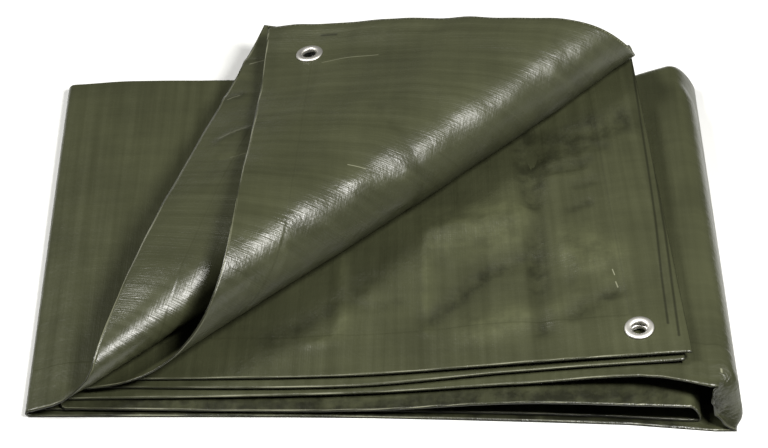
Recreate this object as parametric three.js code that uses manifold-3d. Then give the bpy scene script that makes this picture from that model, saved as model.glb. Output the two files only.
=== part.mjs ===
// A woven polyethylene tarpaulin with an eyelet in each corner, folded up and lying on a flat surface.
//
// The tarp is one sheet. It is folded once down its length, with that fold at the back, which makes a strip of two
// plies. The strip is wound up panel by panel: top panel, left fold, bottom panel, right loop, middle panel, inner
// fold, upper panel. All four corners of the sheet so come together at the front right. The two plies of the top
// panel are turned back from there in open diagonal rolls, and their corners reach past the back of the bundle.
//
// Millimetres. X runs to the right, Y to the back and Z up. The bottom panel lies on Z = 0.

import * as THREE from "three";
import { mergeVertices } from "three/addons/utils/BufferGeometryUtils.js";
import Module from "manifold-3d";

const wasm = await Module();
wasm.setup();

// Driving dimensions.
const CLOTH = 1.2; // thickness of the sheet
const ORIGIN = { x: -0.16, y: -8.91 }; // the middle of the finished part, in the frame that the tables below use
const REAR = 155; // y at which the fold at the back begins

// The x of the columns in the rows below: left fold, inner fold, middle, right of the middle, right, right loop.
const FRONT_X = [-262, -238, -30, 100, 195, 240];
const BACK_X = [-262, -208, -30, 100, 195, 240];

// One row for each ply, in the order in which the wound strip runs. The outer ply of a pair is the one that goes
// round the outside of the left fold and the right loop.
//   start, end    x at which the strip enters and leaves the panel, at the front edge and at the back
//   edge          y of the front edge, at the columns of FRONT_X
//   front         height of the middle of the cloth along the front edge, at the columns of FRONT_X
//   back          the same along the back, at the columns of BACK_X
const FLOOR = [0.6, 0.6, 0.6, 0.6, 0.6, 0.6];
const ON_FLOOR = [2.6, 2.6, 2.6, 2.6, 2.6, 2.6];
const PANELS = [
  {
    name: "top",
    outer: { start: [186, 205], end: [-262, -262], edge: [-204, -204, -204, -204, -204, -204],
      front: [6.8, 14.8, 22, 36, 46, 47], back: [10.4, 14.6, 17.4, 33, 49, 51] },
    inner: { start: [238, 207], end: [-262, -262], edge: [-188, -188, -188, -188, -188, -188],
      front: [4.7, 12.7, 19.6, 33.8, 43.5, 44.5], back: [8.2, 12.6, 15.3, 30.8, 46.5, 48.5] },
  },
  {
    name: "bottom",
    outer: { start: [-262, -262], end: [246, 240], edge: [-204, -204, -204.7, -208.5, -212.5, -218],
      front: FLOOR, back: FLOOR },
    inner: { start: [-262, -262], end: [226, 232], edge: [-199, -199, -200, -203, -207, -211],
      front: ON_FLOOR, back: ON_FLOOR },
  },
  {
    name: "middle",
    outer: { start: [240, 242], end: [-238, -208], edge: [-192, -192.5, -190, -191, -194.5, -206],
      front: [6.6, 6.6, 10, 22.5, 35.2, 37.2], back: [6.6, 6.6, 8.2, 9.8, 13, 29] },
    inner: { start: [226, 232], end: [-238, -208], edge: [-200, -200, -203, -206, -211, -212],
      front: [4.6, 4.6, 5.4, 18, 21, 20], back: [4.6, 4.6, 5.2, 6.4, 9, 14] },
  },
  {
    name: "upper",
    outer: { start: [-238, -208], end: [223, 205], edge: [-182, -182.5, -185.6, -182, -184, -184],
      front: [8.6, 8.6, 13.5, 26.4, 38.8, 43], back: [8.6, 8.8, 11.2, 24.5, 39, 42] },
    inner: { start: [-238, -208], end: [228, 207], edge: [-177, -177, -178, -178.5, -180.5, -180.5],
      front: [10.6, 10.6, 17, 31.4, 44, 47.6], back: [10.6, 10.7, 13.2, 28, 44, 46] },
  },
];

// One row for each turn between two panels, and in it one for each ply. way says to which side the turn bulges.
//   reach     how far the ply stands out, at the front and at the back
//   square    boxy where it is under 1, at the front and at the back
//   low       moves its furthest point towards the start of the turn where it is under 1
//   tuck      how far its front edge is pushed in, which half closes the front of the turn
const TURNS = [
  { name: "left", way: -1,
    outer: { reach: [5, 5], square: [1, 1], low: 1, tuck: 0 },
    inner: { reach: [2.4, 2.4], square: [1, 1], low: 1, tuck: 0 } },
  { name: "right", way: 1,
    outer: { reach: [21.5, 23], square: [0.35, 1], low: 0.5, tuck: 20 },
    inner: { reach: [9, 20], square: [1, 1], low: 0.5, tuck: 0 } },
  { name: "inner", way: -1,
    outer: { reach: [1.8, 1.8], square: [1, 1], low: 1, tuck: 0 },
    inner: { reach: [4.8, 4.8], square: [1, 1], low: 1, tuck: 0 } },
];
const TUCK_DEPTH = 0.035; // how far from the front edge a tuck reaches, as a part of the ply's depth

// The diagonal roll of each ply of the top panel.
//   from, to       x at which the line along which the ply leaves the bundle meets the front edge and the back
//   bow            how far that line bows forward at its middle
//   radius         of the roll at its front end, middle and back end
//   shear, bend    sideways drift of the turned-back part, in proportion to the way round it and to its square
//   drop, reach    how far the turned-back part sinks, and over what length
const ROLLS = {
  outer: { from: -251, to: 182, bow: -15, radius: [11.5, 42, 20], shear: -0.01, bend: 41, drop: 40, reach: 203 },
  inner: { from: -223, to: 188, bow: -6, radius: [42, 36, 30], shear: 0.11, bend: -57, drop: 36, reach: 188 },
};
const BEND_LENGTH = 300; // the way round at which bend is reached

// The metal eyelets, as far from the short end of the sheet and from its long edge as the rows say.
const EYELETS = [
  { name: "eyelet_flap", panel: 0, side: "inner", fromEnd: 42, fromEdge: 34 },
  { name: "eyelet_flap_hidden", panel: 0, side: "outer", fromEnd: 37, fromEdge: 37 },
  { name: "eyelet_corner", panel: 3, side: "inner", fromEnd: 37, fromEdge: 26 },
  { name: "eyelet_corner_hidden", panel: 3, side: "outer", fromEnd: 32, fromEdge: 29.5 },
];
const EYELET = { bore: 6, barrel: 6.8, flange: 11.25, backFlange: 10.9, dome: 1.5, backDome: 1, gap: 0.3, sides: 28 };

// How finely the sheet is divided: stations along each panel and turn, and across each ply and the fold at the back.
const STATIONS = { top: 28, left: 6, bottom: 6, right: 10, middle: 14, inner: 6, upper: 14 };
const ACROSS_TOP = { outer: 27, inner: 23 };
const ACROSS_WOUND = { outer: 9, inner: 6 };
const BACK_FOLD_STATIONS = 4;
const MIN_BACK_RADIUS = 1.8; // the fold at the back is never tighter than this

const mix = (a, b, t) => a + (b - a) * t;
const clamp = (t, low, high) => Math.min(Math.max(t, low), high);
const ease = (t) => clamp(t, 0, 1) ** 2 * (3 - 2 * clamp(t, 0, 1));
const spread = (count, from, to) => Array.from({ length: count + 1 }, (_, i) => mix(from, to, i / count));

// A smooth curve through the values of a row at its columns, read at x.
function valueAt(row, columns, x) {
  const last = columns.length - 1;
  const at = clamp(x, columns[0], columns[last]);
  const next = columns.findIndex((column) => column > at);
  const k = next < 0 ? last - 1 : next - 1;
  const slope = (n) => {
    const before = Math.max(n - 1, 0);
    const after = Math.min(n + 1, last);
    return (row[after] - row[before]) / (columns[after] - columns[before]);
  };
  const width = columns[k + 1] - columns[k];
  const t = (at - columns[k]) / width;
  return (
    row[k] * (1 + 2 * t) * (1 - t) ** 2 +
    row[k + 1] * t * t * (3 - 2 * t) +
    slope(k) * width * t * (1 - t) ** 2 -
    slope(k + 1) * width * t * t * (1 - t)
  );
}

// The height at which a ply lies in the bundle.
function lyingHeight(ply, x, y) {
  const edge = valueAt(ply.edge, FRONT_X, x);
  const depth = ease((y - edge) / (REAR - edge));
  return mix(valueAt(ply.front, FRONT_X, x), valueAt(ply.back, BACK_X, x), depth);
}

// The point of a ply as it lies in the bundle: along is 0 to 1 through the panel, depth 0 at the front edge and 1 at
// the back.
function lyingPoint(ply, along, depth) {
  const x = mix(mix(ply.start[0], ply.end[0], along), mix(ply.start[1], ply.end[1], along), depth);
  const y = mix(valueAt(ply.edge, FRONT_X, x), REAR, depth);
  return new THREE.Vector3(x, y, lyingHeight(ply, x, y));
}

// Where the roll of the top panel takes a point of a ply that lies flat.
function rolledPoint(ply, roll, flat) {
  const start = new THREE.Vector2(roll.from, ply.edge[0]);
  const axis = new THREE.Vector2(roll.to, REAR).sub(start);
  const length = axis.length();
  axis.normalize();
  const away = new THREE.Vector2(axis.y, -axis.x);
  const offset = new THREE.Vector2(flat.x, flat.y).sub(start);
  const along = offset.dot(axis);
  const u = clamp(along / length, 0, 1);
  const bow = roll.bow * 4 * u * (1 - u);
  const round = offset.dot(away) - bow;
  if (round <= 0) return flat;
  const [r0, r1, r2] = roll.radius;
  const radius = r0 * (1 - u) ** 2 + 2 * r1 * u * (1 - u) + r2 * u * u;
  const turn = Math.min(round / radius, Math.PI);
  const spare = Math.max(round - Math.PI * radius, 0);
  const drift = roll.shear * round + roll.bend * (round / BEND_LENGTH) ** 2;
  const foot = start.clone().addScaledVector(axis, along).addScaledVector(away, bow);
  const out = foot.clone().addScaledVector(axis, drift).addScaledVector(away, radius * Math.sin(turn) - spare);
  const z = lyingHeight(ply, foot.x, foot.y) + radius * (1 - Math.cos(turn)) - roll.drop * ease(spare / roll.reach);
  return new THREE.Vector3(out.x, out.y, z);
}

function panelPoint(i, side, along, depth) {
  const flat = lyingPoint(PANELS[i][side], along, depth);
  return i === 0 ? rolledPoint(PANELS[i][side], ROLLS[side], flat) : flat;
}

// The point of a ply in the turn that follows panel i.
function turnPoint(i, side, along, depth) {
  const a = panelPoint(i, side, 1, depth);
  const b = panelPoint(i + 1, side, 0, depth);
  const { reach, square, low, tuck } = TURNS[i][side];
  const half = b.clone().sub(a).multiplyScalar(0.5);
  const point = a.add(half).addScaledVector(half, -Math.cos(Math.PI * along));
  const bulge = Math.sin(Math.PI * along ** low) ** mix(square[0], square[1], depth);
  const tucked = tuck * (1 - ease(depth / TUCK_DEPTH)) * Math.sin(Math.PI * along);
  point.x += TURNS[i].way * (mix(reach[0], reach[1], depth) * bulge - tucked);
  return point;
}

// A point of one ply. place counts along the strip: 0 to 1 is the top panel, 1 to 2 the left fold, 2 to 3 the bottom
// panel and so on.
function plyPoint(side, place, depth) {
  const step = clamp(Math.floor(place), 0, 6);
  const along = place - step;
  return step % 2 ? turnPoint((step - 1) / 2, side, along, depth) : panelPoint(step / 2, side, along, depth);
}

// A point of the sheet. across runs from 0 at the front edge of the outer ply, through the fold at the back between 1
// and 2, to 3 at the front edge of the inner ply.
function sheetPoint(place, across) {
  if (across <= 1) return plyPoint("outer", place, across);
  if (across >= 2) return plyPoint("inner", place, 3 - across);
  const a = plyPoint("outer", place, 1);
  const b = plyPoint("inner", place, 1);
  const angle = Math.PI * (across - 1);
  const half = b.clone().sub(a).multiplyScalar(0.5);
  const radius = Math.max(half.length(), MIN_BACK_RADIUS);
  const point = a.add(half).addScaledVector(half, -Math.cos(angle));
  point.y += radius * Math.sin(angle);
  return point;
}

// The direction in which the sheet faces at a point: the side that is up on the outer ply of the bottom panel.
function sheetNormal(place, across) {
  const step = 1e-3;
  const up = sheetPoint(Math.min(place + step, 7), across).sub(sheetPoint(Math.max(place - step, 0), across));
  const over = sheetPoint(place, Math.min(across + step, 3)).sub(sheetPoint(place, Math.max(across - step, 0)));
  return up.cross(over).normalize();
}

const acrossStations = ({ outer, inner }) => [
  ...spread(outer, 0, 1),
  ...spread(BACK_FOLD_STATIONS, 1, 2).slice(1, -1),
  ...spread(inner, 2, 3),
];

// The rows of stations of the whole sheet, fine on the top panel and coarse on the rest.
function sheetRows() {
  const fine = acrossStations(ACROSS_TOP);
  const coarse = acrossStations(ACROSS_WOUND).toSpliced(1, 0, TUCK_DEPTH);
  const rows = [];
  Object.values(STATIONS).forEach((count, i) => {
    const places = spread(count, i, i + 1).slice(i ? 1 : 0);
    rows.push(...places.map((place) => ({ place, across: i === 0 && place < 1 ? fine : coarse })));
  });
  return rows;
}

// The triangles between two neighbouring rows of stations, each as three [row, column] pairs. Where both rows have
// the same stations, a cell is split along the diagonal that bends less.
function zip(rows, i, points) {
  const [a, b] = [rows[i].across, rows[i + 1].across];
  const at = ([row, column]) => points[row][column];
  const normal = (t) => at(t[1]).clone().sub(at(t[0])).cross(at(t[2]).clone().sub(at(t[0]))).normalize();
  const faces = [];
  let [m, n] = [0, 0];
  while (m < a.length - 1 || n < b.length - 1) {
    const [p, q] = [[i, m], [i + 1, n]];
    const nextA = m < a.length - 1 ? a[m + 1] : Infinity;
    const nextB = n < b.length - 1 ? b[n + 1] : Infinity;
    if (Math.abs(nextA - nextB) < 1e-9 && Math.abs(a[m] - b[n]) < 1e-9) {
      const [r, s] = [[i, m + 1], [i + 1, n + 1]];
      const one = [[p, q, s], [p, s, r]];
      const other = [[p, q, r], [q, s, r]];
      const bend = (pair) => normal(pair[0]).dot(normal(pair[1]));
      faces.push(...(bend(one) >= bend(other) ? one : other));
      m += 1;
      n += 1;
    } else if (nextA < nextB - 1e-9) {
      faces.push([p, q, [i, m + 1]]);
      m += 1;
    } else {
      faces.push([p, q, [i + 1, n + 1]]);
      n += 1;
    }
  }
  return faces;
}

function solidFrom(positions, faces) {
  return new wasm.Manifold(
    new wasm.Mesh({ numProp: 3, vertProperties: new Float32Array(positions), triVerts: new Uint32Array(faces) }),
  );
}

// The sheet as one closed solid of the cloth's thickness.
function clothSolid(rows) {
  const points = rows.map(({ place, across }) => across.map((v) => sheetPoint(place, v)));
  const first = [];
  let count = 0;
  for (const row of rows) {
    first.push(count);
    count += row.across.length;
  }
  const positions = [];
  for (const side of [1, -1])
    rows.forEach(({ place, across }, i) =>
      across.forEach((v, j) => {
        const p = points[i][j].clone().addScaledVector(sheetNormal(place, v), (side * CLOTH) / 2);
        positions.push(p.x, p.y, p.z);
      }),
    );
  const at = (layer, [row, column]) => layer * count + first[row] + column;
  const faces = [];
  const wall = (p, q) => faces.push(at(0, p), at(1, p), at(1, q), at(0, p), at(1, q), at(0, q));
  for (let i = 0; i < rows.length - 1; i++) {
    for (const [p, q, r] of zip(rows, i, points))
      faces.push(at(0, p), at(0, q), at(0, r), at(1, p), at(1, r), at(1, q));
    wall([i, 0], [i + 1, 0]);
    wall([i + 1, rows[i + 1].across.length - 1], [i, rows[i].across.length - 1]);
  }
  const last = rows.length - 1;
  for (let j = 0; j < rows[0].across.length - 1; j++) wall([0, j + 1], [0, j]);
  for (let j = 0; j < rows[last].across.length - 1; j++) wall([last, j], [last, j + 1]);
  return solidFrom(positions, faces);
}

function solidOf(geometry) {
  const bare = geometry.clone();
  bare.deleteAttribute("normal");
  bare.deleteAttribute("uv");
  const merged = mergeVertices(bare.index ? bare.toNonIndexed() : bare, 1e-4);
  return solidFrom(merged.attributes.position.array, merged.index.array);
}

function geometryOf(solid) {
  const mesh = solid.getMesh();
  return new THREE.BufferGeometry()
    .setAttribute("position", new THREE.BufferAttribute(new Float32Array(mesh.vertProperties), 3))
    .setIndex(new THREE.BufferAttribute(new Uint32Array(mesh.triVerts), 1));
}

// Where an eyelet sits: the middle of the cloth there, and the turn that brings +Y to the side of the cloth that is up.
function eyeletFrame({ panel, side, fromEnd, fromEdge }) {
  const ply = PANELS[panel][side];
  const free = panel === 0 ? ply.start : ply.end;
  const x = free[0] - fromEnd;
  const depth = fromEdge / (REAR - valueAt(ply.edge, FRONT_X, x));
  const from = mix(ply.start[0], ply.start[1], depth);
  const to = mix(ply.end[0], ply.end[1], depth);
  const place = 2 * panel + (x - from) / (to - from);
  const across = side === "outer" ? depth : 3 - depth;
  const normal = sheetNormal(place, across);
  if (normal.z < 0) normal.negate();
  const turn = new THREE.Quaternion().setFromUnitVectors(new THREE.Vector3(0, 1, 0), normal);
  return { centre: sheetPoint(place, across), turn };
}

// An eyelet: a domed front flange, a barrel through the cloth and a flatter flange behind.
function eyeletGeometry() {
  const { bore, barrel, flange, backFlange, dome, backDome, gap, sides } = EYELET;
  const face = CLOTH / 2 + gap;
  const profile = [
    [bore, -face - 0.5 * backDome],
    [bore + 0.6, -face - backDome],
    [backFlange - 1.2, -face - backDome],
    [backFlange, -face - 0.3 * backDome],
    [backFlange - 0.1, -face],
    [barrel, -face],
    [barrel, face],
    [flange - 0.2, face],
    [flange, face + 0.3 * dome],
    [flange - 1.2, face + 0.85 * dome],
    [(bore + flange) / 2, face + dome],
    [bore + 0.6, face + 0.7 * dome],
    [bore, face + 0.1 * dome],
    [bore, -face - 0.5 * backDome],
  ];
  return new THREE.LatheGeometry(profile.map(([x, y]) => new THREE.Vector2(x, y)), sides);
}

const CLOTH_FINISH = new THREE.MeshStandardMaterial({ color: 0x4d4f3a, roughness: 0.4, metalness: 0 });
const ALUMINIUM = new THREE.MeshStandardMaterial({ color: 0xc5c2b8, roughness: 0.35, metalness: 1 });

const part = new THREE.Group();
const bundle = new THREE.Group();
bundle.position.set(-ORIGIN.x, -ORIGIN.y, 0);
part.add(bundle);

let sheet = clothSolid(sheetRows());
for (const row of EYELETS) {
  const { centre, turn } = eyeletFrame(row);
  const placed = new THREE.Matrix4().compose(centre, turn, new THREE.Vector3(1, 1, 1));
  const hole = new THREE.CylinderGeometry(EYELET.barrel + EYELET.gap, EYELET.barrel + EYELET.gap, 3 * CLOTH, EYELET.sides);
  sheet = sheet.subtract(solidOf(hole.applyMatrix4(placed)));
  const eyelet = new THREE.Mesh(geometryOf(solidOf(eyeletGeometry())), ALUMINIUM);
  eyelet.name = row.name;
  eyelet.position.copy(centre);
  eyelet.quaternion.copy(turn);
  bundle.add(eyelet);
}

const tarp = new THREE.Mesh(geometryOf(sheet), CLOTH_FINISH);
tarp.name = "tarp";
bundle.add(tarp);

export default part;
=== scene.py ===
# %% [markdown]
# # A folded tarpaulin
# The object is a woven polyethylene tarpaulin that has been folded into a flat bundle. It is one sheet with
# a hem all round and a metal eyelet in each corner, and its top layers are turned back over an open
# diagonal roll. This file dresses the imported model: the cloth is made again as a fine thin sheet on the
# same folds, the eyelets are turned as real rings, and both get their materials. The frame comes first,
# because it says where everything lies.

import math

import bpy
import numpy as np
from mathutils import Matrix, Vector


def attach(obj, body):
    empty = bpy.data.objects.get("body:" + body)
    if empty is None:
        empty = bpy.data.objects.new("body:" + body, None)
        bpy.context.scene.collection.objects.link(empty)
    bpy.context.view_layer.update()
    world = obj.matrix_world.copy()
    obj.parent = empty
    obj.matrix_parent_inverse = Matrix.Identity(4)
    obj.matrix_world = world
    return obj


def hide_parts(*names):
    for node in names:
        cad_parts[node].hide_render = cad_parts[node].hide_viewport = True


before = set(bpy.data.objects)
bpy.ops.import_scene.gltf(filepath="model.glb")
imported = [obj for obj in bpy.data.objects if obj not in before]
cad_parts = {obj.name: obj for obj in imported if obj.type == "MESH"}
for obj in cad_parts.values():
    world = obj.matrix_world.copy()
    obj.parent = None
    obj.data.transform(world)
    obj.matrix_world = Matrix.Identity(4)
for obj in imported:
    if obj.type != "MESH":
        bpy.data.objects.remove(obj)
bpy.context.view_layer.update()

# %% [markdown]
# ## Camera
# The photograph looks down on the bundle at 45 degrees through a long lens from about two metres, which is
# how a catalogue picture of a thing this size is taken. The camera is aimed at a point near the middle of
# the bundle. All sizes below are in millimetres until a mesh is made, so MM turns them into Blender's
# metres.

# %% Camera
MM = 0.001
# The bundle's middle on the floor, in the frame of the fold tables below.
MIDDLE = np.array([-0.16, -8.91, 0.0])
CAMERA_DISTANCE = 1.953
CAMERA_ELEVATION = math.radians(45)
LENS = 2424 / 768 * 36  # mm, on Blender's 36 mm wide sensor

aim = Vector(-MIDDLE * MM)
back = Vector((0, -math.cos(CAMERA_ELEVATION), math.sin(CAMERA_ELEVATION)))
bpy.ops.object.camera_add(location=aim + CAMERA_DISTANCE * back)
camera = bpy.context.object
camera.data.lens = LENS
camera.data.sensor_width = 36
camera.rotation_euler = (-back).to_track_quat("-Z", "Y").to_euler()
bpy.context.scene.camera = camera
print("camera at", [round(v, 3) for v in camera.location], "lens", round(LENS, 1), "mm")

# %% [markdown]
# ## Floor and light
# The bundle lies on a white table. A soft lamp stands at the front right and gives the long bright streaks
# on the two rolls. A stronger one high on the left lights the panels and leaves the right foot of the rolls
# in shade. The surround is dim, so that the gaps between the layers stay dark.

# %% Floor and light
LAMP_AIM = (0, 0, 0.03)  # metres, in the middle of the bundle


def srgb(code):
    """Blender's linear colour for an sRGB hex code."""
    parts = [int(code[i : i + 2], 16) / 255 for i in (1, 3, 5)]
    return [c / 12.92 if c <= 0.04045 else ((c + 0.055) / 1.055) ** 2.4 for c in parts] + [1]


def soft_lamp(name, place, size, watts):
    bpy.ops.object.light_add(type="AREA", location=place)
    lamp = bpy.context.object
    lamp.name = name
    lamp.data.shape = "RECTANGLE"
    lamp.data.size, lamp.data.size_y = size
    lamp.data.energy = watts
    lamp.data.color = (1, 0.985, 0.955)
    lamp.rotation_euler = (Vector(LAMP_AIM) - Vector(place)).to_track_quat("-Z", "Y").to_euler()
    return lamp


lamps = [
    soft_lamp("lamp_key", (0.56, -0.40, 1.08), (0.34, 0.34), 24),
    soft_lamp("lamp_left", (-1.2, 0.1, 1.65), (0.55, 0.55), 38),
]

world = bpy.data.worlds.new("surround")
bpy.context.scene.world = world
world.use_nodes = True
world.node_tree.nodes["Background"].inputs["Color"].default_value = srgb("#f5f4f1")
world.node_tree.nodes["Background"].inputs["Strength"].default_value = 0.06
bpy.context.scene.view_settings.view_transform = "Standard"
bpy.context.scene.view_settings.look = "None"

bpy.ops.mesh.primitive_plane_add(size=12, location=(0, 0, 0))
floor = bpy.context.object
floor.name = "floor"
print("lamps:", ", ".join(f"{lamp.name} {lamp.data.energy:.0f} W" for lamp in lamps))

# %% [markdown]
# ## Nodes
# Every material below is a small graph of nodes. One helper adds a node, sets its values and makes its
# links, so that each step of a finish stays one line.

# %% Nodes
def add_node(tree, kind, values=None, **settings):
    """A node of that kind. settings are its own options; values are numbers or links for its inputs."""
    node = tree.nodes.new("ShaderNode" + kind)
    for name, value in settings.items():
        setattr(node, name, value)
    for name, value in (values or {}).items():
        if isinstance(value, bpy.types.NodeSocket):
            tree.links.new(value, node.inputs[name])
        else:
            node.inputs[name].default_value = value
    return node


def new_material(name):
    material = bpy.data.materials.new(name)
    material.use_nodes = True
    return material, material.node_tree, material.node_tree.nodes["Principled BSDF"]


print("helpers:", add_node.__name__, new_material.__name__)

# %% [markdown]
# ## The table top
# Laminate is paper pressed under clear melamine. A satin press plate leaves it evenly dull, so one colour
# and one roughness are enough, and no pattern draws the eye from the cloth.

# %% White laminate
white_table, tree, shader = new_material("white_laminate_table")
shader.inputs["Base Color"].default_value = srgb("#dddedd")
shader.inputs["Roughness"].default_value = 0.6
floor.data.materials.append(white_table)
print("table top:", white_table.name)

# %% [markdown]
# ## The folds
# A tarp of this kind is folded once down its length and then wound up, panel over panel. So every point of
# it has two numbers: its place along the wound strip, and how far across the sheet it lies. The tables give
# each panel's edges and heights, as the solid has them. A cloth simulation could fold a sheet too, but it
# would not end in the folds of this one, so the folds are worked out from the tables instead.
#
# place: 0 to 1 top panel, 1 to 2 left fold, 2 to 3 bottom, 3 to 4 right loop, 4 to 5 middle, 5 to 6 inner
# fold, 6 to 7 upper panel. across: 0 to 1 outer ply from its front edge to the back, 1 to 2 the fold at the
# back, 2 to 3 inner ply from the back to its front edge.
#
# A panel's ply has start and end, the x of its two ends at the front and at the back; edge, the y of its
# front edge at each x of FRONT_X; and front and back, its height there and along the back. A turn has the
# side that it bulges to, its reach at the front and at the back, how square its bulge is and how low it
# sits, and how far its foot is tucked in. A roll has the x of its axis at the front and at the back, the
# bow of that axis, the radius at its front, middle and back, how the cloth drifts along it, and how far the
# free end drops over which reach.

# %% Fold tables
CLOTH = 1.2  # thickness, mm
REAR = 155  # y of the back
MIN_BACK_RADIUS = 1.8
FRONT_X = [-262, -238, -30, 100, 195, 240]
BACK_X = [-262, -208, -30, 100, 195, 240]
FLOOR = [0.6] * 6
ON_FLOOR = [2.6] * 6
PANELS = [
    {
        "outer": {"start": [186, 205], "end": [-262, -262], "edge": [-204] * 6,
                  "front": [6.8, 14.8, 22, 36, 46, 47], "back": [10.4, 14.6, 17.4, 33, 49, 51]},
        "inner": {"start": [238, 207], "end": [-262, -262], "edge": [-188] * 6,
                  "front": [4.7, 12.7, 19.6, 33.8, 43.5, 44.5], "back": [8.2, 12.6, 15.3, 30.8, 46.5, 48.5]},
    },
    {
        "outer": {"start": [-262, -262], "end": [246, 240],
                  "edge": [-204, -204, -204.7, -208.5, -212.5, -218], "front": FLOOR, "back": FLOOR},
        "inner": {"start": [-262, -262], "end": [226, 232], "edge": [-199, -199, -200, -203, -207, -211],
                  "front": ON_FLOOR, "back": ON_FLOOR},
    },
    {
        "outer": {"start": [240, 242], "end": [-238, -208], "edge": [-192, -192.5, -190, -191, -194.5, -206],
                  "front": [6.6, 6.6, 10, 22.5, 35.2, 37.2], "back": [6.6, 6.6, 8.2, 9.8, 13, 29]},
        "inner": {"start": [226, 232], "end": [-238, -208], "edge": [-200, -200, -203, -206, -211, -212],
                  "front": [4.6, 4.6, 5.4, 18, 21, 20], "back": [4.6, 4.6, 5.2, 6.4, 9, 14]},
    },
    {
        "outer": {"start": [-238, -208], "end": [223, 205], "edge": [-182, -182.5, -185.6, -182, -184, -184],
                  "front": [8.6, 8.6, 13.5, 26.4, 38.8, 43], "back": [8.6, 8.8, 11.2, 24.5, 39, 42]},
        "inner": {"start": [-238, -208], "end": [228, 207],
                  "edge": [-177, -177, -178, -178.5, -180.5, -180.5],
                  "front": [10.6, 10.6, 17, 31.4, 44, 47.6], "back": [10.6, 10.7, 13.2, 28, 44, 46]},
    },
]
TURNS = [
    {"way": -1, "outer": {"reach": [5, 5], "square": [1, 1], "low": 1, "tuck": 0},
     "inner": {"reach": [2.4, 2.4], "square": [1, 1], "low": 1, "tuck": 0}},
    {"way": 1, "outer": {"reach": [21.5, 23], "square": [0.35, 1], "low": 0.5, "tuck": 20},
     "inner": {"reach": [9, 20], "square": [1, 1], "low": 0.5, "tuck": 0}},
    {"way": -1, "outer": {"reach": [1.8, 1.8], "square": [1, 1], "low": 1, "tuck": 0},
     "inner": {"reach": [4.8, 4.8], "square": [1, 1], "low": 1, "tuck": 0}},
]
TUCK_DEPTH = 0.035  # share of the way to the back
ROLLS = {
    "outer": {"from": -251, "to": 182, "bow": -15, "radius": [11.5, 42, 20], "shear": -0.01, "bend": 41,
              "drop": 40, "reach": 203},
    "inner": {"from": -223, "to": 188, "bow": -6, "radius": [42, 36, 30], "shear": 0.11, "bend": -57,
              "drop": 36, "reach": 188},
}
BEND_LENGTH = 300  # mm round the roll, over which bend counts once
PLACE_END, ACROSS_END = 7, 3
print(len(PANELS), "panels of two plies,", len(TURNS), "turns between them")

# %% [markdown]
# ## From the tables to points
# These few functions read the tables with smooth curves, so that no panel shows the straight steps of its
# table. They take whole arrays of points at a time, which keeps a sheet of forty thousand points quick to
# work out.

# %% Lying panels
def mix(a, b, t):
    return a + (b - a) * t


def ease(t):
    t = np.clip(t, 0, 1)
    return t * t * (3 - 2 * t)


def value_at(row, columns, x):
    """A smooth curve through the values of a row at its columns, read at x."""
    row, columns = np.array(row, float), np.array(columns, float)
    n = np.arange(len(columns))
    before, after = np.maximum(n - 1, 0), np.minimum(n + 1, n[-1])
    slope = (row[after] - row[before]) / (columns[after] - columns[before])
    at = np.clip(x, columns[0], columns[-1])
    k = np.clip(np.searchsorted(columns, at, side="right") - 1, 0, n[-1] - 1)
    width = columns[k + 1] - columns[k]
    t = (at - columns[k]) / width
    return (
        row[k] * (1 + 2 * t) * (1 - t) ** 2
        + row[k + 1] * t * t * (3 - 2 * t)
        + slope[k] * width * t * (1 - t) ** 2
        - slope[k + 1] * width * t * t * (1 - t)
    )


def lying_height(ply, x, y):
    edge = value_at(ply["edge"], FRONT_X, x)
    depth = ease((y - edge) / (REAR - edge))
    return mix(value_at(ply["front"], FRONT_X, x), value_at(ply["back"], BACK_X, x), depth)


def lying_point(ply, along, depth):
    """The point of a ply as it lies in the bundle; depth is 0 at the front edge and 1 at the back."""
    front = mix(ply["start"][0], ply["end"][0], along)
    rear = mix(ply["start"][1], ply["end"][1], along)
    x = mix(front, rear, depth)
    y = mix(value_at(ply["edge"], FRONT_X, x), REAR, depth)
    return np.stack([x, y, lying_height(ply, x, y)], axis=-1)


far_left = lying_point(PANELS[1]["outer"], np.array([0.0]), np.array([0.0]))[0]
print("front left corner of the bottom panel at", (far_left - MIDDLE).round(1), "mm")

# %% [markdown]
# ## Rolls and turns
# The two plies of the top panel are turned back over a diagonal roll: each point keeps its way along the
# roll's axis, goes round it, and lies back over the bundle with what is left of its length. The turns
# between the panels are half circles, pulled out or pushed in. Round the back, the outer ply becomes the
# inner one in one narrow bend.

# %% Rolls, turns and the whole sheet
def rolled_point(ply, roll, flat):
    """Where the diagonal roll takes a point that would lie flat: round it, then back over the bundle."""
    start = np.array([roll["from"], ply["edge"][0]], float)
    axis = np.array([roll["to"], REAR]) - start
    length = np.hypot(*axis)
    axis = axis / length
    away = np.array([axis[1], -axis[0]])
    offset = flat[..., :2] - start
    along = offset @ axis
    u = np.clip(along / length, 0, 1)
    bow = roll["bow"] * 4 * u * (1 - u)
    round_it = offset @ away - bow
    r0, r1, r2 = roll["radius"]
    radius = r0 * (1 - u) ** 2 + 2 * r1 * u * (1 - u) + r2 * u * u
    turn = np.clip(round_it / radius, 0, np.pi)
    spare = np.maximum(round_it - np.pi * radius, 0)
    drift = roll["shear"] * round_it + roll["bend"] * (round_it / BEND_LENGTH) ** 2
    foot = start + along[..., None] * axis + bow[..., None] * away
    out = foot + drift[..., None] * axis + (radius * np.sin(turn) - spare)[..., None] * away
    z = lying_height(ply, foot[..., 0], foot[..., 1]) + radius * (1 - np.cos(turn))
    z = z - roll["drop"] * ease(spare / roll["reach"])
    rolled = np.concatenate([out, z[..., None]], axis=-1)
    return np.where((round_it > 0)[..., None], rolled, flat)


def panel_point(i, side, along, depth):
    flat = lying_point(PANELS[i][side], along, depth)
    return rolled_point(PANELS[i][side], ROLLS[side], flat) if i == 0 else flat


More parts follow.
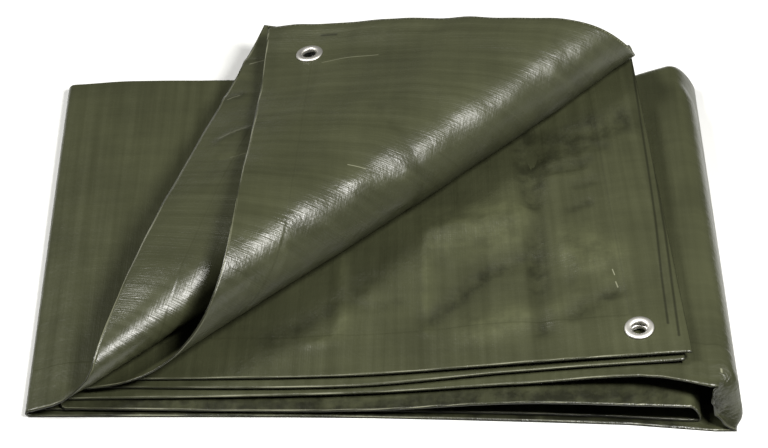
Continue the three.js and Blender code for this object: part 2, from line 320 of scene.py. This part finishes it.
def turn_point(i, side, along, depth):
    """The point of a ply in the turn that follows panel i."""
    a = panel_point(i, side, np.ones_like(along), depth)
    b = panel_point(i + 1, side, np.zeros_like(along), depth)
    shape = TURNS[i][side]
    point = (a + b) / 2 - (b - a) / 2 * np.cos(np.pi * along)[..., None]
    square = mix(shape["square"][0], shape["square"][1], depth)
    bulge = np.clip(np.sin(np.pi * along ** shape["low"]), 0, 1) ** square
    tucked = shape["tuck"] * (1 - ease(depth / TUCK_DEPTH)) * np.sin(np.pi * along)
    point[..., 0] += TURNS[i]["way"] * (mix(shape["reach"][0], shape["reach"][1], depth) * bulge - tucked)
    return point


def ply_points(side, place, depth):
    out = np.zeros(place.shape + (3,))
    step = np.clip(np.floor(place).astype(int), 0, PLACE_END - 1)
    for i in range(PLACE_END):
        here = step == i
        if here.any():
            make = turn_point if i % 2 else panel_point
            out[here] = make(i // 2, side, place[here] - i, depth[here])
    return out


def sheet_points(place, across):
    """Points of the middle of the cloth, for arrays of place and across."""
    place, across = np.broadcast_arrays(np.asarray(place, float), np.asarray(across, float))
    out = np.zeros(place.shape + (3,))
    outer, inner = across <= 1, across >= 2
    out[outer] = ply_points("outer", place[outer], across[outer])
    out[inner] = ply_points("inner", place[inner], 3 - across[inner])
    bend = ~(outer | inner)
    if bend.any():
        ones = np.ones_like(place[bend])
        a, b = ply_points("outer", place[bend], ones), ply_points("inner", place[bend], ones)
        angle = np.pi * (across[bend] - 1)
        half = (b - a) / 2
        radius = np.maximum(np.linalg.norm(half, axis=-1), MIN_BACK_RADIUS)
        out[bend] = a + half - half * np.cos(angle)[:, None]
        out[bend, 1] += radius * np.sin(angle)
    return out


def sheet_normals(place, across):
    """The way the sheet faces: the side that is up on the outer ply of the bottom panel."""
    place, across = np.broadcast_arrays(np.asarray(place, float), np.asarray(across, float))
    step = 1e-3
    after, before = np.minimum(place + step, PLACE_END), np.maximum(place - step, 0)
    farther, nearer = np.minimum(across + step, ACROSS_END), np.maximum(across - step, 0)
    up = sheet_points(after, across) - sheet_points(before, across)
    over = sheet_points(place, farther) - sheet_points(place, nearer)
    normal = np.cross(up, over)
    return normal / np.linalg.norm(normal, axis=-1, keepdims=True)


corner = sheet_points([0.0], [ACROSS_END])[0] - MIDDLE
print("eyelet corner of the flap at", corner.round(1), "mm")

# %% [markdown]
# ## Stations
# The sheet is laid out as a grid of stations. They stand close together on the panels that show, and far
# apart on those that lie inside the bundle, so that the faces go where the eye does. Round the eyelets they
# stand about 2 mm apart, because holes are cut there.

# %% Stations
PLACE_RUNS = [(0, 0.055, 8), (0.055, 0.135, 17), (0.135, 0.75, 66), (0.75, 1, 14), (1, 2, 6), (2, 3, 8),
              (3, 4, 22), (4, 4.5, 14), (4.5, 5, 6), (5, 6, 6), (6, 6.36, 10), (6.36, 6.87, 60),
              (6.87, 6.96, 19), (6.96, 7, 7)]
ACROSS_RUNS = [(0, 0.055, 8), (0.055, 0.145, 15), (0.145, 1, 34), (1, 2, 6), (2, 2.86, 68), (2.86, 2.96, 17),
               (2.96, 3, 7)]


def stations(runs):
    return np.concatenate([[runs[0][0]]] + [np.linspace(a, b, n + 1)[1:] for a, b, n in runs])


place_stations = stations(PLACE_RUNS)
across_stations = stations(ACROSS_RUNS)
place, across = np.meshgrid(place_stations, across_stations, indexing="ij")
points = sheet_points(place, across)
normals = sheet_normals(place, across)
print("grid of", points.shape[0], "by", points.shape[1], "stations")

# %% [markdown]
# ## Where the weave runs
# A woven pattern must follow the cloth round its folds, so each point keeps the distance that it has on the
# flat sheet from one short end and from one long edge. Those two lengths become the UV map, in metres. They
# also say how far a point is from the nearest edge of the sheet, which is what the hem needs.

# %% Flat lengths
def running_length(grid, axis):
    steps = np.linalg.norm(np.diff(grid, axis=axis), axis=-1)
    pad = [(0, 0), (0, 0)]
    pad[axis] = (1, 0)
    return np.cumsum(np.pad(steps, pad), axis=axis)


from_end = running_length(points, 0)
from_side = running_length(points, 1)
length, width = from_end[-1], from_side[:, -1]
to_edge = np.minimum.reduce([from_end, length - from_end, from_side, width[:, None] - from_side])
# A row's own length is its mean over the two plies, each station counted by the width that it stands for.
share = np.gradient(across_stations) * ((across_stations <= 1) | (across_stations >= 2))
weft = np.broadcast_to((from_end * share).sum(axis=1, keepdims=True) / share.sum(), from_end.shape)

# %% [markdown]
# ## Where the eyelets sit
# The eyelets are pressed into the corners of the sheet before it is folded. Each is placed by its distance
# from the short end and from the long edge of its ply. The cloth is stiff and flat round an eyelet, and has
# a hole inside it.

# %% Eyelet places
EYELETS = [
    {"name": "eyelet_flap", "panel": 0, "side": "inner", "from_end": 42, "from_edge": 34},
    {"name": "eyelet_flap_hidden", "panel": 0, "side": "outer", "from_end": 37, "from_edge": 37},
    {"name": "eyelet_corner", "panel": 3, "side": "inner", "from_end": 37, "from_edge": 26},
    {"name": "eyelet_corner_hidden", "panel": 3, "side": "outer", "from_end": 32, "from_edge": 29.5},
]
HOLE = 6.9  # mm from an eyelet's middle to the edge of the hole in the cloth
SAME_PLY = 0.15  # how far off, in place and across, a station may be and still lie beside the eyelet
FAR = 1e9


def eyelet_station(row):
    """The place and across of an eyelet's middle."""
    ply = PANELS[row["panel"]][row["side"]]
    free_end = ply["start"] if row["panel"] == 0 else ply["end"]
    x = free_end[0] - row["from_end"]
    depth = row["from_edge"] / (REAR - value_at(ply["edge"], FRONT_X, x))
    start, end = mix(ply["start"][0], ply["start"][1], depth), mix(ply["end"][0], ply["end"][1], depth)
    return 2 * row["panel"] + (x - start) / (end - start), depth if row["side"] == "outer" else 3 - depth


to_eyelet = np.full(place.shape, FAR)
for row in EYELETS:
    at = eyelet_station(row)
    row["centre"], normal = sheet_points([at[0]], [at[1]])[0], sheet_normals([at[0]], [at[1]])[0]
    row["up"] = Vector(normal if normal[2] > 0 else -normal)
    same_ply = (abs(place - at[0]) < SAME_PLY) & (abs(across - at[1]) < SAME_PLY)
    away = np.linalg.norm(points - row["centre"], axis=-1)
    to_eyelet = np.where(same_ply, np.minimum(to_eyelet, away), to_eyelet)
    print(row["name"], "at", (row["centre"] - MIDDLE).round(1), "mm")

# %% [markdown]
# ## Creases
# A tarp keeps the creases of its last folding. The main ones are placed on the flat sheet, each along a
# short run of points: how wide it is, how high it stands on the side that shows, and its points as
# millimetres from the short end and from the long edge. Below zero it is a trough. A sculpting brush could
# do it too, but a row of numbers can be read and changed. The first rows are wide and low: the flanks of
# the two rolls, the shoulder of the right loop and the raised end of the flap.

# %% Creases
FLANKS = [
    (12, -4.8, [(421, 2), (380, 38), (352, 56), (327, 71), (297, 91)]),
    (22, 1.6, [(290, 660), (262, 628), (211, 586), (164, 524), (118, 480), (70, 430)]),
    (9, 4, [(1029, 24), (1029, 335)]),
    (25, 6, [(0, 676), (0, 594)]),
    (22, 1.6, [(0, 562), (0, 542)]),
]
CREASES = [
    (20, 3.0, [(1780, 530), (1838, 522)]),
    (14, 2.0, [(1800, 640), (1850, 625)]),
    (18, 2.4, [(1880, 560), (1895, 585)]),
    (8, -2.2, [(1853, 427), (1850, 504), (1848, 573), (1846, 645)]),
    (4, 1.3, [(1764, 520), (1764, 583), (1764, 640)]),
    (7, -2.4, [(1765, 628), (1784, 608), (1799, 590), (1815, 579), (1842, 569)]),
    (7, 1.6, [(1770, 530), (1811, 525), (1848, 521)]),
    (6, -1.8, [(1870, 635), (1883, 626), (1904, 617)]),
    (6, -1.0, [(1870, 600), (1901, 591)]),
    (5, 1.6, [(1699, 553), (1703, 619), (1698, 642), (1680, 646)]),
    (4, -1.3, [(1866, 473), (1883, 475), (1897, 466)]),
    (4, -1.3, [(1886, 497), (1901, 494)]),
    (4, -1.4, [(1878, 522), (1893, 517)]),
    (4, 0.7, [(1872, 484), (1885, 486), (1898, 481)]),
    (16, -2.6, [(1862, 452), (1890, 436), (1925, 428)]),
    (10, -1.6, [(1846, 430), (1850, 470), (1849, 520)]),
    (5, -1.2, [(1888, 455), (1900, 452), (1912, 456)]),
    (4, -1.0, [(1884, 470), (1893, 474)]),
    (6, 1.0, [(1788, 566), (1812, 556), (1836, 540)]),
    (5, 0.9, [(1872, 560), (1880, 590), (1876, 615)]),
    (5, -0.8, [(1700, 600), (1722, 610), (1744, 604)]),
    (9, -1.1, [(1650, 640), (1690, 615), (1720, 580)]),
    (3, -0.7, [(1950, 349), (1945, 425), (1945, 469), (1943, 523), (1940, 581), (1938, 645)]),
    (4, 0.5, [(55, 654), (44, 602), (45, 585)]),
    (3, 0.6, [(35, 455), (60, 455), (72, 455)]),
    (3, 0.5, [(269, 656), (297, 653)]),
    (5, -0.7, [(120, 600), (170, 560), (230, 520)]),
    (6, 0.6, [(210, 655), (205, 610), (180, 560)]),
    (5, -1.3, [(165, 20), (155, 28), (147, 44)]),
    (4, 1.2, [(186, 30), (179, 50)]),
    (5, -1.4, [(50, 2), (45, 20)]),
    (5, -1.2, [(104, 1), (98, 16)]),
    (4, 1.0, [(68, 3), (76, 24)]),
]


def distance_to_run(run, x, y):
    """How far points lie from a run of straight pieces."""
    nearest = np.full(x.shape, FAR)
    for (x0, y0), (x1, y1) in zip(run[:-1], run[1:]):
        dx, dy = x1 - x0, y1 - y0
        t = np.clip(((x - x0) * dx + (y - y0) * dy) / (dx * dx + dy * dy), 0, 1)
        nearest = np.minimum(nearest, np.hypot(x - x0 - t * dx, y - y0 - t * dy))
    return nearest


def heights(rows):
    return sum(high * np.exp(-((distance_to_run(run, weft, from_side) / wide) ** 2))
               for wide, high, run in rows)


creased = heights(CREASES)
print(len(FLANKS), "wide forms and", len(CREASES), "creases, from", round(float(creased.min()), 2), "to",
      round(float(creased.max()), 2), "mm")

# %% [markdown]
# ## Swells and the crumpled foot
# A few slow swells keep the panels from lying dead flat. They are weaker where the plies lie close on each
# other, and stop short of the eyelets, where the cloth is stiff. The foot of the right loop is pushed in at
# the front, so the cloth there is crumpled, except where it rests on the floor.

# %% Swells and the crumpled foot
# Height in mm, waves for each mm along and across, and where the wave starts.
SWELLS = [(0.35, 0.011, 0.004, 0.4), (0.3, -0.006, 0.013, 2.1),
          (0.2, 0.021, 0.012, 4.0), (0.16, 0.009, -0.026, 1.2)]
STIFF = 20  # mm round an eyelet
FOOT_PLACE, FOOT_SPREAD, FOOT_DEPTH = 3.45, 0.5, 14  # place, its spread in place, and mm from the front edge
FOOT_CLEAR = 9  # mm over the floor, below which the crumple dies out

# How freely a ply can swell: more the higher it lies, on the flap and towards the free end of the upper
# panel.
free = np.where(place < 1, np.clip((points[..., 2] - 20) / 40, 0.3, 1.6),
                np.clip((points[..., 2] - 8) / 30, 0, 1))
free = free * ease(place - 6.3) + free * (place < 1)
swell = sum(high * np.sin(2 * np.pi * (fx * weft + fy * from_side) + phase) for high, fx, fy, phase in SWELLS)
tuck = np.exp(-((place - FOOT_PLACE) / FOOT_SPREAD) ** 2) * np.exp(-from_side / FOOT_DEPTH)
crumples = np.sin(0.75 * from_side + 2.2 * np.sin(0.31 * weft)) * np.sin(0.5 * weft + 0.9)
crushed = 2 * tuck * ease(points[..., 2] / FOOT_CLEAR) * crumples
rise = (heights(FLANKS) + creased + free * swell) * (1 - np.exp(-((to_eyelet / STIFF) ** 2))) + crushed
points = points - normals * rise[..., None]
print("all forms together:", round(float(rise.min()), 2), "to", round(float(rise.max()), 2), "mm")

# %% [markdown]
# ## The cloth
# The points become one mesh of four-sided faces, open where the eyelets pass through. Solidify then gives
# it the thickness of cloth, the same on both sides of the middle surface.
#
# Three values ride on the points for the finish: the way to the nearest edge, how crumpled the coating is,
# and a painted shading. The turned-back corner is pulled taut, so it is smoother. The painted shading is
# painted shade in the troughs of the creases and a painted highlight on their crests, and painted shade on
# the crumpled foot of the right loop and on the hems next to the ground.

# %% The cloth
taut = np.exp(-((from_side - 60) / 80) ** 2) * (place < 0.9)
crumple = 1 + 5 * tuck - 0.55 * taut
# The hems of the bottom panel and of the middle panel's inner ply, next to the ground, get painted shade.
painted_shade_low_hems = (np.exp(-((to_edge / 25) ** 2))
             * ((place > 2) & (place < 3) | (place > 4) & (place < 5) & (across > 2)))
# Painted shading: shade in crease troughs, highlight on crests, shade on the crumpled foot and on the low
# hems.
painted_shading = np.clip(creased / 1.6, -1, 1) - 2 * tuck - 1.6 * painted_shade_low_hems


def cloth_mesh(name, grid):
    rows, columns = grid.shape[:2]
    index = np.arange(rows * columns).reshape(rows, columns)
    corners = np.stack([index[:-1, :-1], index[1:, :-1], index[1:, 1:], index[:-1, 1:]],
                       axis=-1).reshape(-1, 4)
    corners = corners[to_eyelet.reshape(-1)[corners].min(axis=1) > HOLE]
    mesh = bpy.data.meshes.new(name)
    mesh.from_pydata(((grid.reshape(-1, 3) - MIDDLE) * MM).tolist(), [], corners.tolist())
    uv = mesh.uv_layers.new(name="flat_metres")
    flat = np.stack([from_side, weft], axis=-1).reshape(-1, 2) * MM
    uv.data.foreach_set("uv", flat[corners.reshape(-1)].astype(np.float32).reshape(-1))
    for label, values in (("to_edge", to_edge), ("crumple", crumple), ("painted_shading", painted_shading)):
        layer = mesh.attributes.new(label, "FLOAT", "POINT")
        layer.data.foreach_set("value", values.astype(np.float32).reshape(-1))
    mesh.polygons.foreach_set("use_smooth", np.ones(len(corners), bool))
    mesh.update()
    return mesh


bpy.ops.object.select_all(action="DESELECT")
tarp = bpy.data.objects.new("tarp_cloth", cloth_mesh("tarp_cloth", points))
bpy.context.scene.collection.objects.link(tarp)
bpy.context.view_layer.objects.active = tarp
tarp.select_set(True)
solidify = tarp.modifiers.new("thickness", "SOLIDIFY")
solidify.thickness = CLOTH * MM
solidify.offset = 0
bpy.ops.object.modifier_apply(modifier="thickness")
print("cloth:", len(tarp.data.polygons), "faces")

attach(tarp, "root")
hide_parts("tarp")

# %% [markdown]
# ## The finish of the cloth
# The real stuff is polyethylene tape, woven flat and coated on both sides. The coating is smooth, so it
# shines like plastic, and the weave shows through it as a fine grid of shallow ridges with darker and paler
# tapes. The material reads the flat lengths in millimetres, so that every pattern has its real size and
# turns with the cloth.

# %% Coated polyethylene weave
cloth, tree, shader = new_material("coated_polyethylene_weave")
uv = add_node(tree, "UVMap", uv_map="flat_metres").outputs["UV"]
flat_mm = add_node(tree, "VectorMath", {0: uv, "Scale": 1000}, operation="SCALE").outputs[0]
axes = add_node(tree, "SeparateXYZ", {0: flat_mm}).outputs
edge_mm = add_node(tree, "Attribute", attribute_name="to_edge").outputs["Fac"]
crumple_at = add_node(tree, "Attribute", attribute_name="crumple").outputs["Fac"]
painted_shading_at = add_node(tree, "Attribute", attribute_name="painted_shading").outputs["Fac"]

# The tapes are 2.4 mm wide; warp and weft pass over each other in turn, which this product of two waves
# repeats.
TAPE = 2.4
waves = [
    add_node(tree, "Math",
             {0: add_node(tree, "Math", {0: axis, 1: math.pi / TAPE}, operation="MULTIPLY").outputs[0]},
             operation="SINE").outputs[0]
    for axis in axes[:2]
]
weave = add_node(tree, "Math", {0: waves[0], 1: waves[1]}, operation="MULTIPLY").outputs[0]
print("tapes", TAPE, "mm wide")

# %% [markdown]
# ## Streaks
# Single tapes are paler or darker than their neighbours over a long way, so the eye sees streaks both ways.
# Noise that is drawn out along one axis does this: two wide sets for the tone, and two that are one tape
# wide for the sheen.

# %% Streaks
# Scale for each mm across and along.
STREAK_SCALES = [(0.004, 0.14, 1), (0.12, 0.006, 1), (0.02, 0.9, 1), (0.8, 0.02, 1)]

streaks = []
for scale in STREAK_SCALES:
    stretched = add_node(tree, "VectorMath", {0: flat_mm, 1: scale}, operation="MULTIPLY").outputs[0]
    noise = add_node(tree, "TexNoise", {"Vector": stretched, "Scale": 1, "Detail": 3}, noise_dimensions="2D")
    streaks.append(noise.outputs["Fac"])
mixed = add_node(tree, "Math", {0: streaks[0], 1: 2.5, 2: streaks[1]}, operation="MULTIPLY_ADD").outputs[0]
fine = add_node(tree, "Math", {0: streaks[2], 1: streaks[3]}, operation="ADD").outputs[0]
mixed = add_node(tree, "Math", {0: fine, 1: 0.5, 2: mixed}, operation="MULTIPLY_ADD").outputs[0]
tone = add_node(tree, "MapRange", {0: mixed, 1: 1.55, 2: 2.95, 3: 0.88, 4: 1.12}).outputs[0]
print(len(streaks), "sets of streaks")

# %% [markdown]
# ## Facets, clouds and painted shade
# The coated cloth crumples in small flat facets with soft ridges between them, and broad clouds show where
# the coating is thicker. The troughs of the creases get painted shade and their crests a painted highlight,
# unevenly; the same value holds the painted shade on the crumpled foot and on the hems next to the ground.

# %% Facets, clouds and painted shade
DARKEST_PAINTED_SHADE = 0.3  # share of the colour that is left in the deepest trough

facets = add_node(tree, "TexNoise", {"Vector": flat_mm, "Scale": 0.055, "Detail": 4, "Roughness": 0.62},
                  noise_dimensions="2D").outputs["Fac"]
clouds = add_node(tree, "TexNoise", {"Vector": flat_mm, "Scale": 0.016, "Detail": 3}, noise_dimensions="2D")
uneven = add_node(tree, "MapRange", {0: facets, 1: 0.35, 2: 0.65, 3: 0.1, 4: 0.5}).outputs[0]
clouded = add_node(tree, "MapRange", {0: clouds.outputs["Fac"], 1: 0.3, 2: 0.7, 3: 0.88, 4: 1.12}).outputs[0]
tone = add_node(tree, "Math", {0: tone, 1: clouded}, operation="MULTIPLY").outputs[0]
# Painted shade in the troughs and painted highlight on the crests, broken up by the facets.
painted_shading_factor = add_node(tree, "Math", {0: painted_shading_at, 1: uneven, 2: 1}, operation="MULTIPLY_ADD").outputs[0]
painted_shading_factor = add_node(tree, "Math", {0: painted_shading_factor, 1: DARKEST_PAINTED_SHADE}, operation="MAXIMUM").outputs[0]
tone = add_node(tree, "Math", {0: tone, 1: painted_shading_factor}, operation="MULTIPLY").outputs[0]
print("darkest trough keeps", DARKEST_PAINTED_SHADE, "of the colour")

# %% [markdown]
# ## Relief
# The hem is the cloth's edge turned in and welded; its end stands up as a low step 40 mm in. That step, the
# weave, the facets and the fine streaks are too low for the mesh, so they are one bump. Its heights are
# real ones, in metres.

# %% Relief
hem = add_node(tree, "MapRange", {0: edge_mm, 1: 39, 2: 41.5, 3: 1, 4: 0},
               interpolation_type="SMOOTHSTEP").outputs[0]
crumpled = add_node(tree, "Math", {0: facets, 1: crumple_at}, operation="MULTIPLY").outputs[0]

height = 0
for form, high in ((weave, 0.000012), (crumpled, 0.0007), (streaks[2], 0.00018), (streaks[3], 0.00008),
                   (hem, 0.0002)):
    height = add_node(tree, "Math", {0: form, 1: high, 2: height}, operation="MULTIPLY_ADD").outputs[0]
bump = add_node(tree, "Bump", {"Height": height, "Distance": 1}).outputs["Normal"]
tree.links.new(bump, shader.inputs["Normal"])
print("relief set")

# %% [markdown]
# ## Sharp creases
# A crease that was pressed hard is a thin line, pale where the coating has whitened. The dark lines are
# painted shade: the shadow held in pinched creases and along edges over the ply below. Each is drawn along a
# run of points, as the distance of every spot of the cloth from that run.

# %% Sharp creases
MARKS = [
    # width, strength (below zero it is a painted shade line), points as for the creases
    (0.4, 0.35, [(192, 603), (193, 617)]),
    (0.5, 0.22, [(53, 651), (50, 627), (47, 604)]),
    (0.5, 0.2, [(160, 19), (151, 30), (143, 40)]),
    (0.5, 0.15, [(186, 37), (180, 48)]),
    (0.5, 0.2, [(53, 6), (46, 18)]),
    (0.5, 0.2, [(104, 5), (98, 14)]),
    (0.4, 0.45, [(1903, 594), (1904, 600)]),
    (0.5, 0.35, [(1904, 607), (1905, 612)]),
    (0.5, 0.4, [(1036, 14), (1036, 17)]),
    # Painted shade: lines along the right end of the upper panel, the last one the shadow at its edge.
    (1.1, -0.8, [(1950, 325), (1947, 389), (1945, 453), (1942, 540), (1938, 605), (1936, 655)]),
    (1.1, -0.8, [(1953, 380), (1950, 453), (1947, 560), (1942, 668)]),
    (2.0, -0.85, [(1957, 300), (1956, 665)]),
    # Painted shade on the flap near its short end.
    (1.6, -0.7, [(14, 656), (14, 644)]),
]
whitened_and_painted_highlight = painted_shade_and_hem_line = 0
for wide, strength, run in MARKS:
    for start, end in zip(run[:-1], run[1:]):
        # The UV map holds the way from the long edge first.
        a, b = Vector((start[1], start[0], 0)), Vector((end[1], end[0], 0))
        way = b - a
        offset = add_node(tree, "VectorMath", {0: flat_mm, 1: a}, operation="SUBTRACT").outputs[0]
        along = add_node(tree, "VectorMath", {0: offset, 1: way / way.length_squared},
                         operation="DOT_PRODUCT")
        t = add_node(tree, "Math", {0: along.outputs["Value"], 1: 1},
                     operation="MULTIPLY", use_clamp=True).outputs[0]
        foot = add_node(tree, "VectorMath", {0: way, "Scale": t}, operation="SCALE").outputs[0]
        off = add_node(tree, "VectorMath", {0: offset, 1: foot}, operation="DISTANCE").outputs["Value"]
        line = add_node(tree, "MapRange",
                        {0: off, 1: 0.3 * wide, 2: 1.3 * wide, 3: abs(strength), 4: 0}).outputs[0]
        if strength > 0:
            whitened_and_painted_highlight = add_node(tree, "Math", {0: whitened_and_painted_highlight, 1: line}, operation="MAXIMUM").outputs[0]
        else:
            painted_shade_and_hem_line = add_node(tree, "Math", {0: painted_shade_and_hem_line, 1: line}, operation="MAXIMUM").outputs[0]
print(len(MARKS), "sharp creases")

# %% [markdown]
# ## Hem and edge
# A thin dark line follows the hem's inner end. Along the hem's outer fold a painted highlight stands for the
# light that its rounded edge catches; it is broken up in places and stops at the far short end. The wall of
# its edge gets painted shade, for the shade of the ply above.

# %% Hem and edge
FAR_HEM = (1935, 1945)  # mm from the near short end, between which the painted rim highlight stops

step = add_node(tree, "Math", {0: edge_mm, 1: 40.5, 2: 0.6}, operation="COMPARE").outputs[0]
painted_shade_and_hem_line = add_node(tree, "Math", {0: step, 1: 0.12, 2: painted_shade_and_hem_line}, operation="MULTIPLY_ADD").outputs[0]
# Painted highlight along the hem's outer fold, broken up by the fine streaks.
painted_rim_highlight = add_node(tree, "MapRange", {0: edge_mm, 1: 0.8, 2: 2.2, 3: 0.5, 4: 0}).outputs[0]
painted_rim_highlight = add_node(tree, "MapRange", {0: axes[1], 1: FAR_HEM[0], 2: FAR_HEM[1], 3: painted_rim_highlight, 4: 0}).outputs[0]
broken_rim_highlight = add_node(tree, "MapRange", {0: streaks[3], 1: 0.45, 2: 0.65, 3: 0, 4: painted_rim_highlight}).outputs[0]
# Painted shade on the wall of the edge.
painted_wall_shade = add_node(tree, "MapRange", {0: edge_mm, 1: 0.1, 2: 0.5, 3: 0.75, 4: 0}).outputs[0]
painted_rim_highlight = add_node(tree, "Math", {0: broken_rim_highlight, 1: painted_wall_shade}, operation="SUBTRACT", use_clamp=True).outputs[0]
painted_shade_and_hem_line = add_node(tree, "Math", {0: painted_shade_and_hem_line, 1: painted_wall_shade}, operation="MAXIMUM").outputs[0]
whitened_and_painted_highlight = add_node(tree, "Math", {0: whitened_and_painted_highlight, 1: painted_rim_highlight}, operation="MAXIMUM").outputs[0]
print("hem line and worn rim set")

# %% [markdown]
# ## Colour and gloss
# The colour is a little darker than the real cloth's, because the lamps here are stronger than a room's
# light. The gloss follows the wide streaks, since thicker coating is smoother, and it has gone duller near
# the short end, where the flap is handled. The IOR is that of polyethylene.

# %% Colour and gloss
OLIVE, WHITENED_AND_HIGHLIGHT = srgb("#383a28")[:3], srgb("#a5a68e")

# The painted shade lines and the hem line darken the tone; whitened creases and the painted rim highlight
# take the pale colour.
tone = add_node(tree, "MapRange", {0: painted_shade_and_hem_line, 3: tone, 4: 0.3}).outputs[0]
colour = add_node(tree, "VectorMath", {0: OLIVE, "Scale": tone}, operation="SCALE").outputs[0]
colour = add_node(tree, "Mix", {"Factor": whitened_and_painted_highlight, 6: colour, 7: WHITENED_AND_HIGHLIGHT}, data_type="RGBA").outputs[2]
tree.links.new(colour, shader.inputs["Base Color"])
gloss = add_node(tree, "MapRange", {0: streaks[0], 1: 0.3, 2: 0.7, 3: 0.29, 4: 0.36}).outputs[0]
dull = add_node(tree, "MapRange", {0: axes[1], 1: 50, 2: 230, 3: 0.08, 4: 0}).outputs[0]
gloss = add_node(tree, "Math", {0: gloss, 1: dull}, operation="ADD").outputs[0]
tree.links.new(gloss, shader.inputs["Roughness"])
shader.inputs["IOR"].default_value = 1.5
tarp.data.materials.append(cloth)
print("material:", len(tree.nodes), "nodes")

# %% [markdown]
# ## Eyelets
# An eyelet is a tube of soft aluminium pressed over a washer until both edges curl round the cloth. Its
# section is what the eye sees, a domed ring with a rolled inner lip, so a circle is drawn out along that
# section step by step. A spin of the section would do as well.

# %% Eyelets
SMOOTH_BELOW = math.radians(40)
SECTION = [  # radius and height, mm
    (6.0, -0.9), (6.2, -1.5), (6.8, -1.85), (9.7, -1.85), (10.6, -1.5), (10.9, -1.0), (6.9, -0.9),
    (6.9, 0.9), (11.0, 0.9), (11.25, 1.25), (11.0, 1.75), (10.3, 2.15), (9.2, 2.38), (8.2, 2.38),
    (7.2, 2.2), (6.5, 1.85), (6.1, 1.4), (6.0, 0.9),
]


def eyelet_mesh():
    """A ring with that section, its axis along +Z."""
    bpy.ops.object.select_all(action="DESELECT")
    radius, height = SECTION[0]
    bpy.ops.mesh.primitive_circle_add(vertices=72, radius=radius * MM, location=(0, 0, 0))
    ring = bpy.context.object
    bpy.ops.object.mode_set(mode="EDIT")
    bpy.ops.transform.translate(value=(0, 0, height * MM))
    for wider, higher in SECTION[1:] + SECTION[:1]:
        bpy.ops.mesh.extrude_edges_move()
        bpy.ops.transform.resize(value=(wider / radius, wider / radius, 1))
        bpy.ops.transform.translate(value=(0, 0, (higher - height) * MM))
        radius, height = wider, higher
    bpy.ops.mesh.select_all(action="SELECT")
    bpy.ops.mesh.remove_doubles(threshold=1e-6)
    bpy.ops.mesh.normals_make_consistent(inside=False)
    bpy.ops.object.mode_set(mode="OBJECT")
    bpy.ops.object.shade_smooth_by_angle(angle=SMOOTH_BELOW)
    mesh = ring.data
    bpy.data.objects.remove(ring)
    return mesh


section_ring = eyelet_mesh()
print("ring of", len(section_ring.polygons), "faces")

# %% [markdown]
# ## Pressed aluminium
# The strip is bright, but the press and the tumbling drum leave it with a fine dull skin, so the ring
# shines softly and white, with no clear mirror in it. Aluminium is a metal, so its colour is that of its
# shine.

# %% Pressed aluminium
aluminium, tree, shader = new_material("pressed_aluminium")
shader.inputs["Base Color"].default_value = srgb("#dedcd6")
shader.inputs["Metallic"].default_value = 1
shader.inputs["Roughness"].default_value = 0.5
print("metal:", aluminium.name)

# %% [markdown]
# ## Eyelets in their places
# Each eyelet is a copy of the one ring with its own mesh. The copy is turned so that its axis stands square
# to the cloth, and moved there in its mesh, so that the object itself stays at the origin.

# %% Eyelets in their places
for row in EYELETS:
    mesh = section_ring.copy()
    turn = row["up"].to_track_quat("Z", "Y").to_matrix().to_4x4()
    turn.translation = Vector((row["centre"] - MIDDLE) * MM)
    mesh.transform(turn)
    ring = bpy.data.objects.new(row["name"] + "_ring", mesh)
    bpy.context.scene.collection.objects.link(ring)
    ring.data.materials.append(aluminium)
    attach(ring, "root")
    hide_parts(row["name"])
